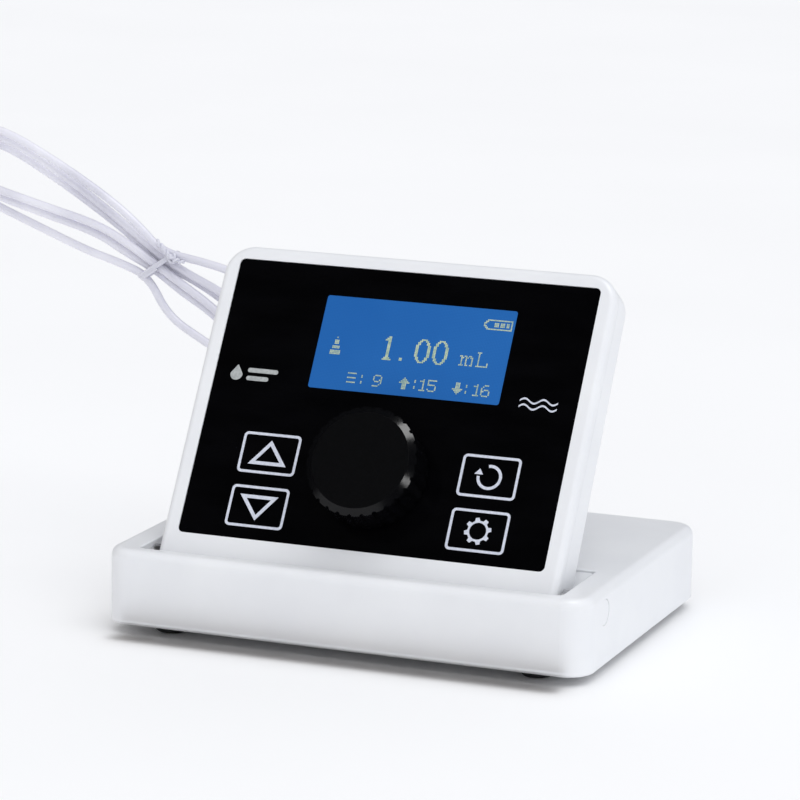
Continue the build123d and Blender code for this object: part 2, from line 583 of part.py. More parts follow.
def make_display_window():
    x0, v0, x1, v1 = WINDOW
    low, high = PANEL_TOP_N - PANEL_T, PANEL_TOP_N - 0.06
    return block(x0 + FIT, v0 + FIT, low, x1 - FIT, v1 - FIT, high, WINDOW_R - FIT)


def make_display_glass():
    return box(-32, 53.5, -2.6, 38.8, 91.6, -1.4)


def make_display_frame():
    frame = box(-34, 51.5, -5.6, 40.8, 93.6, -1.4)
    return frame - box(-32.1, 53.4, -6, 38.9, 91.7, -1)


def make_backlight():
    return box(-31.8, 53.7, -5.6, 38.6, 91.4, -2.7)


def make_main_board():
    board = box(-56, 7, BOARD_N - BOARD_T, 56, 94.2, BOARD_N)
    chips = [(-20, 60, 0, 78, 2.2), (10, 62, 24, 76, 1.6), (-48, 60, -38, 84, 2.8), (34, 24, 48, 36, 2)]
    for x0, v0, x1, v1, h in chips:
        board += box(x0, v0, BOARD_N - BOARD_T - h, x1, v1, BOARD_N - BOARD_T + 0.1)
    return board


def make_key_switches():
    switches = []
    for x0, v0, x1, v1 in KEYS.values():
        x, v = (x0 + x1) / 2, (v0 + v1) / 2
        body = box(x - 3, v - 3, BOARD_N, x + 3, v + 3, BOARD_N + 2.6)
        switches.append(body + rod_z(x, v, BOARD_N + 2.5, BOARD_N + 3.1, 1.7))
    return group(*switches)


def make_key(name):
    """A key cap with a thin plate and a stem that stands over its switch."""
    cap = key_shape(name, 0, PANEL_TOP_N - 0.9, PANEL_TOP_N)
    x0, v0, x1, v1 = KEYS[name]
    return cap + rod_z((x0 + x1) / 2, (v0 + v1) / 2, BOARD_N + 3.1 + KEY_TRAVEL + 0.1, PANEL_TOP_N - 0.5, 1.6)


def make_encoder_body():
    body = block(-6.5, KNOB_V - 6.5, BOARD_N, 6.5, KNOB_V + 6.5, -1.6, 0.6)
    return body - rod_z(0, KNOB_V, BOARD_N + 0.4, 0, SHAFT_R + FIT)


def make_encoder_bush():
    bush = rod_z(0, KNOB_V, -1.55, 4.0, 3.9)
    return bush - rod_z(0, KNOB_V, -3, 5, SHAFT_R + FIT)


def make_encoder_plunger():
    return rod_z(0, KNOB_V, BOARD_N + 1.0, BOARD_N + 2.0, SHAFT_R - 0.1)


def make_encoder_shaft():
    return rod_z(0, KNOB_V, BOARD_N + 2.05, 11.5, SHAFT_R)


def make_control_knob():
    outline = make_face(Polyline((0, KNOB_LOW_N), (KNOB_R, KNOB_LOW_N), (KNOB_R, KNOB_SHOULDER_N),
                                 (KNOB_FACE_R, KNOB_TOP_N), (0, KNOB_TOP_N), close=True))
    knob = revolve(Plane.XZ * outline, Axis.Z)
    knob = fillet(knob.edges().group_by(Axis.Z)[-1], KNOB_EDGE_R)
    notch = rod_z(KNOB_R + FLUTE_R - FLUTE_DEPTH, 0, 0, KNOB_TOP_N, FLUTE_R)
    for i in range(FLUTES):
        knob -= Rot(0, 0, 360 / FLUTES * i) * notch
    knob -= rod_z(0, 0, 0, 8.5, 14.8)
    knob += rod_z(0, 0, 4.6, 9, 5.5)
    knob -= rod_z(0, 0, 4, 11.55, SHAFT_R)
    return Pos(0, KNOB_V, 0) * knob


def make_pivot_bushes():
    bushes = []
    for side in (-1, 1):
        low, high = sorted((side * 56.2, side * 66.2))
        bush = rod_x(low, high, AXIS_V, AXIS_N, PIVOT_BUSH_R)
        bushes.append(bush - rod_x(low - 1, high + 1, AXIS_V, AXIS_N, PIVOT_R + FIT))
    return group(*bushes)


# ---- cord ----


def tube(route, name):
    """A round tube on straight runs joined by arcs that are as large as the runs allow."""
    points = [Vector(*p) for p in route]
    runs = [(b - a).length for a, b in zip(points, points[1:])]
    radii = []
    for i in range(1, len(points) - 1):
        turn = (points[i] - points[i - 1]).get_angle(points[i + 1] - points[i])
        radii.append(0.45 * min(runs[i - 1], runs[i]) / math.tan(math.radians(turn / 2)))
    path = FilletPolyline(*points, radius=radii)
    section = Plane(origin=points[0], z_dir=points[1] - points[0]) * Circle(CORD_D / 2)
    solid = sweep(section, path=path)
    ideal = math.pi * CORD_D ** 2 / 4 * path.length
    print(name, "radii", [round(r, 1) for r in radii], "length", round(path.length, 1),
          "volume share", round(solid.volume / ideal, 4))
    return solid


def hank_axes(place):
    """A place of the hank's middle line, and its directions along the hank and above it, in x and z."""
    before, after = HANK_LINE[max(place - 1, 0)], HANK_LINE[min(place + 1, len(HANK_LINE) - 1)]
    along = Vector(after[0] - before[0], after[1] - before[1]).normalized()
    return Vector(*HANK_LINE[place]), along, Vector(-along.Y, along.X)


def make_hank():
    """The outer shape of the folded lead: flat, drawn in where it is tied, fanned at its ends."""
    upper, lower = [], []
    last = len(HANK_LINE) - 1
    for place in range(len(HANK_LINE)):
        rises = [run[place] for run in HANK_RISES]
        top, bottom = max(rises) + CORD_D / 2, min(rises) - CORD_D / 2
        spot, along, above = hank_axes(place)
        edges = [(spot + above * top, spot + above * bottom)]
        if place in (0, last):
            half = (top - bottom) / 2
            tip = spot + above * (top + bottom) / 2 + along * half * (-0.6 if place == 0 else 0.6)
            edges.insert(len(edges) if place else 0, (tip + above * half * 0.45, tip - above * half * 0.45))
        upper += [(edge.X, edge.Y) for edge, _ in edges]
        lower += [(edge.X, edge.Y) for _, edge in edges]
    face = make_face(Polyline(*upper, *reversed(lower), close=True))
    near = min(min(run) for run in HANK_DEPTHS) - CORD_D / 2
    far = max(max(run) for run in HANK_DEPTHS) + CORD_D / 2
    return Pos(0, far, 0) * extrude(Plane.XZ * face, far - near)


def make_tie():
    """A band round the hank's narrow place."""
    spot, along, _ = hank_axes(TIE_PLACE)
    rises = [run[TIE_PLACE] for run in HANK_RISES]
    near = min(min(run) for run in HANK_DEPTHS) - CORD_D / 2 - 0.2
    far = max(max(run) for run in HANK_DEPTHS) + CORD_D / 2 + 0.2
    height = max(rises) - min(rises) + CORD_D + 2.6
    ring = Box(3.0, far - near + 2 * TIE_T, height + 2 * TIE_T) - Box(5, far - near, height)
    slope = math.degrees(math.atan2(-along.Y, along.X))
    return Pos(spot.X, (near + far) / 2, spot.Y) * Rot(0, slope, 0) * ring


def make_dc_plug():
    """An angled moulded plug: a contact barrel, an elbow and a tapered strain relief."""
    barrel = rod_y(JACK_X, 45.5, 57.6, DRIVE_Z, 2.75) - rod_y(JACK_X, 45, 56.6, DRIVE_Z, 1.05)
    elbow = rod_y(JACK_X, 57.5, 68.0, DRIVE_Z, 5.0)
    arm = rod_x(36, JACK_X, 63, DRIVE_Z, 4.2)
    taper = Pos(27, 63, DRIVE_Z) * Rot(0, 90, 0) * Cone(CORD_D / 2 + 0.5, 3.4, 18.4)
    return barrel + elbow + arm + taper


def make_tail_grip():
    grip = Pos(34, 73.5, 3.9) * Box(20, 11, 6.6)
    grip = fillet(grip.edges().filter_by(Axis.X), 2.0)
    return grip + Pos(22.5, 73.5, 1.9 + 0.6) * Rot(0, 90, 0) * Cone(1.9, 2.4, 5)


def make_tail_shell():
    shell = Pos(51.2, 73.5, 3.9) * Box(14.3, 12, 4.5)
    return shell - Pos(54, 73.5, 3.9) * Box(16, 11.3, 3.8) + Pos(50, 73.5, 4.7) * Box(11.9, 11, 1.6)


def add(name, shape):
    nodes[name] = shape


def make_all():
    for name, maker in {
        "base_housing": make_base_housing, "base_plate": make_base_plate, "rubber_feet": make_feet,
        "base_screws": make_base_screws, "pivot_pins": make_pivot_pins, "pivot_caps": make_pivot_caps,
        "pivot_lead": make_pivot_lead, "friction_washers": make_washers, "drive_frame": make_drive_frame,
        "drive_motor": make_drive_motor, "motor_shaft": make_motor_shaft,
        "motor_coupling": make_motor_coupling, "lead_screw": make_lead_screw,
        "screw_bush": make_screw_bush, "guide_rod": make_guide_rod, "carriage": make_carriage,
        "drive_nut": make_drive_nut, "plunger_rod": make_plunger_rod, "plunger_seal": make_plunger_seal,
        "syringe_barrel": make_syringe_barrel, "barrel_clamp": make_barrel_clamp,
        "valve_block": make_valve_block, "home_sensor": make_home_sensor, "battery_pack": make_battery,
        "power_board": make_power_board, "port_plate": make_port_plate, "rear_panel": make_rear_panel,
        "dc_jack": make_dc_jack, "switch_frame": make_switch_frame, "power_rocker": make_power_rocker,
        "cord_hank": make_hank, "cord_tie": make_tie,
        "dc_plug": make_dc_plug, "tail_plug_grip": make_tail_grip, "tail_plug_shell": make_tail_shell,
    }.items():
        add(name, maker())
    for name, x in PORTS.items():
        add(name, make_port(x))
    add("cord_lead", tube(LEAD_ROUTE, "cord_lead"))
    add("cord_tail", tube(TAIL_ROUTE, "cord_tail"))
    outer, inner = outer_head(), head_solid(2.0, 5.5)
    add("head_front_shell", on_head(make_head_front_shell(outer, inner)))
    add("head_rear_cover", on_head(make_head_rear_cover(outer, inner)))
    for name, maker in {
        "head_screws": make_head_screws, "front_lens": make_front_lens,
        "display_window": make_display_window, "display_glass": make_display_glass,
        "display_frame": make_display_frame, "backlight": make_backlight, "main_board": make_main_board,
        "key_switches": make_key_switches, "encoder_body": make_encoder_body,
        "encoder_bush": make_encoder_bush, "encoder_plunger": make_encoder_plunger,
        "encoder_shaft": make_encoder_shaft, "control_knob": make_control_knob,
        "pivot_bushes": make_pivot_bushes,
    }.items():
        add(name, on_head(maker()))
    for name in KEYS:
        add(name, on_head(make_key(name)))


make_all()
os.makedirs("parts", exist_ok=True)
for node_name, node_shape in nodes.items():
    export_step(node_shape, f"parts/{node_name}.step")
print(len(nodes), "nodes; hinge at y", round(HINGE_Y, 2), "z", round(HINGE_Z, 2))
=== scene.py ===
import json
import math
import bmesh
import bpy
from mathutils import Matrix, Vector


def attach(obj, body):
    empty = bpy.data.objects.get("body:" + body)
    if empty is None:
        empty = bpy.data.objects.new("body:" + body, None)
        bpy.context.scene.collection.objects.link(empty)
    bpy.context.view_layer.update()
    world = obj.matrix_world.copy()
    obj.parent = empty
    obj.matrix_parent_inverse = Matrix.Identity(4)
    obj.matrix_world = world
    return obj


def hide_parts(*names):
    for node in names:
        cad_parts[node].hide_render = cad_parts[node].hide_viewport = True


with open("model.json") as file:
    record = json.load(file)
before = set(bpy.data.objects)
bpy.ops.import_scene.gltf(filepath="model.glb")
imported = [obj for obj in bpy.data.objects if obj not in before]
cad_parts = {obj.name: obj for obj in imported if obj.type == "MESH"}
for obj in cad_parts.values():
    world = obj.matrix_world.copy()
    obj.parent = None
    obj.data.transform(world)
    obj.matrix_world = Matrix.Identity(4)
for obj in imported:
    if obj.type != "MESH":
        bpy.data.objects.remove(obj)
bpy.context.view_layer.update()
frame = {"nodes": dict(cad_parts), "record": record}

MM = 0.001

# The camera looks at a point above the base's middle (degrees, metres; lens and sensor in mm).
CAM_AZIMUTH, CAM_ELEVATION, CAM_ROLL = 21.19, 11.85, 0.99
CAM_DISTANCE = 1.25445
CAM_TARGET = Vector((-0.00314, 0.0, 0.07065))
CAM_LENS, CAM_SENSOR = 178.06, 36.0
CAM_FAR = 50.0

# The studio (metres, watts, degrees): a big floor just under the feet, a wide soft sun, three area lights,
# how bright the world is in reflections, and the card that deepens the shadow at the front.
FLOOR_LEFT, FLOOR_RIGHT, FLOOR_FRONT, FLOOR_BACK = -6, 6, -6, 9
FLOOR_DROP = 0.0002
SUN_STRENGTH, SUN_WIDTH = 0.66, 50
SUN_FROM = (0.42, -0.20, 1.0)
LIGHT_AIM = Vector((0, 0, 0.05))
LEVEL = (1, 0, 0)
AREA_LIGHTS = (
    # name, place, size, power, only for gloss, and the direction of its first side
    ("front_fill", (0.2, -1.7, 0.55), (1.2, 0.8), 2.0, False, LEVEL),
    ("glint_top", (0.25, -0.04, 0.98), (0.30, 0.24), 3.2, True, (0.34, -0.30, -0.11)),
    ("glint_right", (0.53, -0.67, 0.43), (0.07, 0.12), 0.45, True, LEVEL),
)
GLOSS_WORLD = 0.045
SHADE_HALF_X, SHADE_FRONT, SHADE_BACK, SHADE_Z = 0.074, -0.0645, -0.0575, 0.0042

# The head's own frame, as in the part: x to the right, v up the slope, n out of its face (mm).
TILT = 58.65
HEAD_Y, BASE_TOP = -44.9, 27.0
# The face of the panel and of the keys, how thick the print on it is, and each key's body and corners.
FACE_N = -0.3
INK = 0.05
KEYS = {
    "key_up": ("cap_up", (-46.1, 26.7, -26.55, 40.25)),
    "key_down": ("cap_down", (-46.1, 8.85, -26.55, 22.5)),
    "key_back": ("cap_back", (27.7, 26.4, 46.9, 40.2)),
    "key_settings": ("cap_settings", (27.7, 8.8, 46.9, 22.45)),
}
# The knob's place up the slope, its top, and how far below its top the satin face counts.
KNOB_V, KNOB_TOP_N = 30.0, 14.0
KNOB_FACE_DEPTH = 0.03
BLACK_SPECULAR = 0.22

# The display's dots (mm): spacing, depth, and the share of the spacing that a dot fills; and the glow.
DOT = 0.5
DOT_DEPTH = 0.06
DOT_SHARE, BIG_DOT_SHARE = 0.8, 0.92
GLOW = 0.12

# The white lead (mm): its short run from the plug, its folded hank, and its tail.
CORD_D = 2.8
LEAD_ROUTE = [(18, 63, 15), (7, 63.3, 14), (-3, 63.8, 11.8), (-13, 64.4, 11.5)]
TAIL_ROUTE = [(-18, 64.8, 3.6), (-9, 65.2, 1.7), (0, 67.5, 1.6), (10, 71.5, 1.7), (20, 73.4, 1.9)]
HANK_LINE = [(-184, 126), (-160, 116.5), (-140, 107.5), (-129, 101), (-119, 95), (-108, 88.5), (-96, 81.5),
             (-76, 66), (-55, 47), (-36, 27), (-16, 11)]
# Each run's depth (y), and how far it lies above the hank's middle line, at each place of that line.
HANK_DEPTHS = [
    (64.6, 64.8, 65.0, 65.3, 65.5, 65.2, 64.9, 64.6, 64.5, 64.4, 64.4),
    (64.6, 64.8, 65.2, 65.3, 65.5, 65.8, 66.0, 66.5, 67.0, 67.2, 67.2),
    (67.4, 67.5, 67.6, 67.8, 67.9, 67.5, 67.4, 67.3, 67.2, 67.2, 67.2),
    (67.4, 67.5, 67.8, 67.9, 67.9, 68.2, 68.6, 69.2, 69.8, 70.0, 70.0),
    (70.2, 70.0, 69.6, 69.0, 68.5, 69.8, 70.2, 70.2, 70.1, 70.0, 70.0),
    (70.2, 69.2, 67.6, 66.4, 65.5, 65.0, 64.8, 64.6, 64.5, 64.4, 64.4),
]
HANK_RISES = [
    (13.8, 12.0, 9.6, 7.9, 5.0, 10.4, 15.6, 15.5, 11.0, 4.0, 0.0),
    (-7.8, -4.6, -0.5, 0.2, 0.0, -0.3, -0.6, -2.5, -5.3, -8.4, -10.8),
    (10.8, 8.4, 5.0, 3.7, 2.4, 3.5, 5.5, 6.5, 8.1, 10.0, 10.8),
    (-10.8, -7.9, -4.2, -3.9, -2.5, -3.6, -3.4, -5.0, -7.4, -9.8, -10.8),
    (7.4, 4.9, 2.3, 1.6, 0.0, 1.9, 2.2, 4.0, 6.8, 9.6, 10.8),
    (-14.2, -13.5, -11.6, -7.8, -5.0, -12.2, -12.4, -7.5, -8.5, -9.0, -8.0),
]
# How far a fold reaches past the hank's end, and where its two middle points lie, as shares of its radius.
FOLD_REACH, FOLD_SIDE = 0.586, 0.414

# The film tie (mm): a slanting band round the hank, a knot on it and twisted ends (rise, run, first angle).
TIE_PLACE, TIE_DEPTH = 4, 67.0
TIE_TURNS, TIE_START = 2.25, 0.25
TIE_HALF_HEIGHT, TIE_HALF_DEPTH, TIE_BAND_R = 7.7, 3.9, 0.6
TIE_MIDDLE, TIE_SLANT, TIE_ADVANCE = 1.3, 3.4, 1.5
KNOT_UP, KNOT_NEAR, KNOT_ALONG = 6.2, 3.4, 4.6
KNOT_R, KNOT_WAVE, KNOT_DEPTH = 1.2, 0.5, 0.6
FILM_R = 0.5
TIE_ENDS = ((2.2, -7.6, 0.0), (2.2, -7.0, math.pi), (1.2, 4.6, 0.0))
END_TWISTS, END_COIL_R, END_NEAR = 2.5, 0.55, 0.8


# ---- places and small helpers ----


def head_point(x, v, n):
    """A point of the head's own frame (mm), as a place in the scene (m)."""
    t = math.radians(TILT)
    y = HEAD_Y + v * math.cos(t) - n * math.sin(t)
    z = BASE_TOP + v * math.sin(t) + n * math.cos(t)
    return Vector((x, y, z)) * MM


def head_axes():
    """The directions of x, v and n."""
    t = math.radians(TILT)
    up_slope = Vector((0, math.cos(t), math.sin(t)))
    out = Vector((0, -math.sin(t), math.cos(t)))
    return Vector((1, 0, 0)), up_slope, out


def new_object(name, bm, material):
    mesh = bpy.data.meshes.new(name)
    bm.to_mesh(mesh)
    bm.free()
    piece = bpy.data.objects.new(name, mesh)
    bpy.context.scene.collection.objects.link(piece)
    mesh.materials.append(material)
    return piece


def plate(bm, outline, low, high):
    """A flat plate from an outline of (x, v) points, between two heights over the head's face."""
    bottom = [bm.verts.new(head_point(x, v, low)) for x, v in outline]
    top = [bm.verts.new(head_point(x, v, high)) for x, v in outline]
    bm.faces.new(top)
    bm.faces.new(bottom[::-1])
    for i in range(len(outline)):
        j = (i + 1) % len(outline)
        bm.faces.new((bottom[i], bottom[j], top[j], top[i]))


def ring_plate(bm, outer, inner, low, high):
    """The same, for a closed band between two outlines with as many points."""
    count = len(outer)
    rows = [[bm.verts.new(head_point(x, v, n)) for x, v in line]
            for line, n in ((outer, low), (outer, high), (inner, high), (inner, low))]
    for k in range(len(rows)):
        a, b = rows[k], rows[(k + 1) % len(rows)]
        for i in range(count):
            j = (i + 1) % count
            bm.faces.new((a[i], a[j], b[j], b[i]))


def rounded_rect(x0, v0, x1, v1, radius, steps=6):
    """An outline with round corners, counter-clockwise from the top right."""
    points = []
    corners = ((x1 - radius, v1 - radius, 0), (x0 + radius, v1 - radius, 90),
               (x0 + radius, v0 + radius, 180), (x1 - radius, v0 + radius, 270))
    for cx, cv, start in corners:
        for i in range(steps + 1):
            a = math.radians(start + 90 * i / steps)
            points.append((cx + radius * math.cos(a), cv + radius * math.sin(a)))
    return points


def grown(points, by):
    """A convex outline moved outward by a distance, corner by corner."""
    result = []
    count = len(points)
    for i in range(count):
        a, b, c = (Vector(points[k % count]) for k in (i - 1, i, i + 1))
        u, w = (b - a).normalized(), (c - b).normalized()
        nu, nw = Vector((u.y, -u.x)), Vector((w.y, -w.x))
        bisector = (nu + nw) / (1 + nu.dot(nw))
        result.append(tuple(b + bisector * by))
    return result


# ---- materials ----


def blank(name):
    """A new material, with its nodes, its links and its main shader."""
    material = bpy.data.materials.new(name)
    material.use_nodes = True
    nodes, links = material.node_tree.nodes, material.node_tree.links
    return material, nodes, links, nodes["Principled BSDF"]


def object_place(nodes, links, stretch=(1, 1, 1)):
    """Places on the object itself, stretched for patterns that run one way."""
    coords = nodes.new("ShaderNodeTexCoord")
    mapping = nodes.new("ShaderNodeMapping")
    mapping.inputs["Scale"].default_value = stretch
    links.new(coords.outputs["Object"], mapping.inputs["Vector"])
    return mapping.outputs["Vector"]


def noise(nodes, links, place, scale, detail=3.0):
    texture = nodes.new("ShaderNodeTexNoise")
    texture.inputs["Scale"].default_value = scale
    texture.inputs["Detail"].default_value = detail
    links.new(place, texture.inputs["Vector"])
    return texture.outputs["Fac"]


def ramp(nodes, links, value, low, high, at=(0.35, 0.65)):
    """A blend between two colours."""
    node = nodes.new("ShaderNodeValToRGB")
    node.color_ramp.elements[0].position, node.color_ramp.elements[1].position = at
    node.color_ramp.elements[0].color = (*low, 1)
    node.color_ramp.elements[1].color = (*high, 1)
    links.new(value, node.inputs["Fac"])
    return node.outputs["Color"]


def spread(nodes, links, value, low, high):
    """A value from 0 to 1, spread over a range."""
    node = nodes.new("ShaderNodeMapRange")
    node.inputs["To Min"].default_value = low
    node.inputs["To Max"].default_value = high
    links.new(value, node.inputs["Value"])
    return node.outputs["Result"]


def bump(nodes, links, value, shader, strength, distance):
    """A fine relief, of a depth in metres."""
    node = nodes.new("ShaderNodeBump")
    node.inputs["Strength"].default_value = strength
    node.inputs["Distance"].default_value = distance
    links.new(value, node.inputs["Height"])
    links.new(node.outputs["Normal"], shader.inputs["Normal"])


def moulded(name, low, high, rough, grain=2600.0, depth=0.00002, soft=0.0):
    """Moulded plastic or rubber: a faint mottle, a fine grain and an uneven sheen."""
    material, nodes, links, shader = blank(name)
    place = object_place(nodes, links)
    mottle = noise(nodes, links, place, scale=35.0)
    fine = noise(nodes, links, place, scale=grain, detail=2.0)
    sheen = noise(nodes, links, place, scale=90.0)
    links.new(ramp(nodes, links, mottle, low, high), shader.inputs["Base Color"])
    links.new(spread(nodes, links, sheen, *rough), shader.inputs["Roughness"])
    bump(nodes, links, fine, shader, strength=0.35, distance=depth)
    if soft:
        shader.inputs["Subsurface Weight"].default_value = soft
        shader.inputs["Subsurface Radius"].default_value = (0.004, 0.004, 0.0035)
        shader.inputs["Subsurface Scale"].default_value = 0.4
    return material


def metal(name, low, high, rough, stretch):
    """Turned or rolled metal: fine streaks across one axis."""
    material, nodes, links, shader = blank(name)
    streaks = noise(nodes, links, object_place(nodes, links, stretch), scale=60.0, detail=6.0)
    links.new(ramp(nodes, links, streaks, low, high), shader.inputs["Base Color"])
    links.new(spread(nodes, links, streaks, *rough), shader.inputs["Roughness"])
    bump(nodes, links, streaks, shader, strength=0.25, distance=0.00003)
    shader.inputs["Metallic"].default_value = 1.0
    return material


def gloss_black(name, rough):
    """Polished black acrylic, with faint wiping marks in its gloss."""
    material, nodes, links, shader = blank(name)
    wiped = noise(nodes, links, object_place(nodes, links, stretch=(1, 3, 3)), scale=45.0, detail=5.0)
    links.new(ramp(nodes, links, wiped, (0.0006, 0.0006, 0.0009), (0.0014, 0.0014, 0.0019)),
              shader.inputs["Base Color"])
    links.new(spread(nodes, links, wiped, *rough), shader.inputs["Roughness"])
    shader.inputs["Specular IOR Level"].default_value = BLACK_SPECULAR
    return material


def knob_black():
    """Black moulding: a satin face, and a glossier edge and side."""
    material, nodes, links, shader = blank("knob_moulding")
    place = object_place(nodes, links)
    _, _, out = head_axes()
    height = nodes.new("ShaderNodeVectorMath")
    height.operation = "DOT_PRODUCT"
    height.inputs[1].default_value = out
    links.new(place, height.inputs[0])
    edge = head_point(0, KNOB_V, KNOB_TOP_N - KNOB_FACE_DEPTH).dot(out)
    face = nodes.new("ShaderNodeMath")
    face.operation = "GREATER_THAN"
    face.inputs[1].default_value = edge
    links.new(height.outputs["Value"], face.inputs[0])
    grain = noise(nodes, links, place, scale=1800.0, detail=2.0)
    links.new(ramp(nodes, links, grain, (0.0012, 0.0013, 0.0018), (0.0028, 0.0029, 0.0036)),
              shader.inputs["Base Color"])
    edge_rough, face_rough = 0.16, 0.38
    rough = spread(nodes, links, face.outputs["Value"], edge_rough, face_rough)
    links.new(rough, shader.inputs["Roughness"])
    shader.inputs["Specular IOR Level"].default_value = BLACK_SPECULAR
    bump(nodes, links, grain, shader, strength=0.15, distance=0.00001)
    return material


def display_blue():
    """A lit blue dot display: a fine grid of cells over a faint mottle."""
    material, nodes, links, shader = blank("display_light")
    place = object_place(nodes, links)
    x_axis, v_axis, _ = head_axes()
    cells = []
    for axis in (x_axis, v_axis):
        along = nodes.new("ShaderNodeVectorMath")
        along.operation = "DOT_PRODUCT"
        along.inputs[1].default_value = axis * (2 * math.pi / (DOT * MM))
        links.new(place, along.inputs[0])
        cell = nodes.new("ShaderNodeMath")
        cell.operation = "COSINE"
        links.new(along.outputs["Value"], cell.inputs[0])
        cells.append(cell.outputs["Value"])
    lines = nodes.new("ShaderNodeMath")
    lines.operation = "MAXIMUM"
    links.new(cells[0], lines.inputs[0])
    links.new(cells[1], lines.inputs[1])
    mottle = noise(nodes, links, place, scale=28.0, detail=2.0)
    shade = ramp(nodes, links, mottle, (0.012, 0.108, 0.365), (0.017, 0.128, 0.405), at=(0.3, 0.7))
    mix = nodes.new("ShaderNodeMix")
    mix.data_type = "RGBA"
    mix.inputs["B"].default_value = (0.009, 0.086, 0.315, 1)
    links.new(shade, mix.inputs["A"])
    links.new(spread(nodes, links, lines.outputs["Value"], 0.0, 0.5), mix.inputs["Factor"])
    links.new(mix.outputs["Result"], shader.inputs["Emission Color"])
    links.new(mix.outputs["Result"], shader.inputs["Base Color"])
    shader.inputs["Emission Strength"].default_value = GLOW
    shader.inputs["Roughness"].default_value = 0.25
    shader.inputs["Specular IOR Level"].default_value = 0.2
    return material


def lit_marks():
    """The display's pale lit dots."""
    material, nodes, links, shader = blank("display_dots")
    place = object_place(nodes, links)
    uneven = noise(nodes, links, place, scale=700.0)
    shade = ramp(nodes, links, uneven, (0.30, 0.42, 0.33), (0.50, 0.58, 0.40))
    links.new(shade, shader.inputs["Base Color"])
    links.new(shade, shader.inputs["Emission Color"])
    shader.inputs["Emission Strength"].default_value = GLOW
    shader.inputs["Roughness"].default_value = 0.5
    return material


def printed(name, low, high):
    """Screen-printed ink: slightly uneven cover."""
    material, nodes, links, shader = blank(name)
    place = object_place(nodes, links)
    cover = noise(nodes, links, place, scale=1200.0)
    sheen = noise(nodes, links, place, scale=600.0)
    links.new(ramp(nodes, links, cover, low, high), shader.inputs["Base Color"])
    links.new(spread(nodes, links, sheen, 0.4, 0.6), shader.inputs["Roughness"])
    return material


def clear_glass(name, tint, rough):
    """Clear glass, tinted in faint clouds, with a slightly uneven polish."""
    material, nodes, links, shader = blank(name)
    place = object_place(nodes, links)
    clouds = noise(nodes, links, place, scale=20.0)
    polish = noise(nodes, links, place, scale=120.0)
    links.new(ramp(nodes, links, clouds, tint, (0.96, 0.98, 0.99)), shader.inputs["Base Color"])
    links.new(spread(nodes, links, polish, *rough), shader.inputs["Roughness"])
    shader.inputs["Transmission Weight"].default_value = 0.9
    return material


def circuit_board():
    """Green solder mask with copper runs under it."""
    material, nodes, links, shader = blank("solder_mask")
    place = object_place(nodes, links)
    runs = nodes.new("ShaderNodeTexBrick")
    runs.inputs["Scale"].default_value = 220.0
    runs.inputs["Mortar Size"].default_value = 0.03
    runs.inputs["Color1"].default_value = (0.01, 0.09, 0.035, 1)
    runs.inputs["Color2"].default_value = (0.012, 0.11, 0.045, 1)
    runs.inputs["Mortar"].default_value = (0.03, 0.2, 0.07, 1)
    links.new(place, runs.inputs["Vector"])
    links.new(runs.outputs["Color"], shader.inputs["Base Color"])
    sheen = noise(nodes, links, place, scale=300.0)
    links.new(spread(nodes, links, sheen, 0.25, 0.4), shader.inputs["Roughness"])
    bump(nodes, links, runs.outputs["Fac"], shader, strength=0.2, distance=0.00004)
    return material


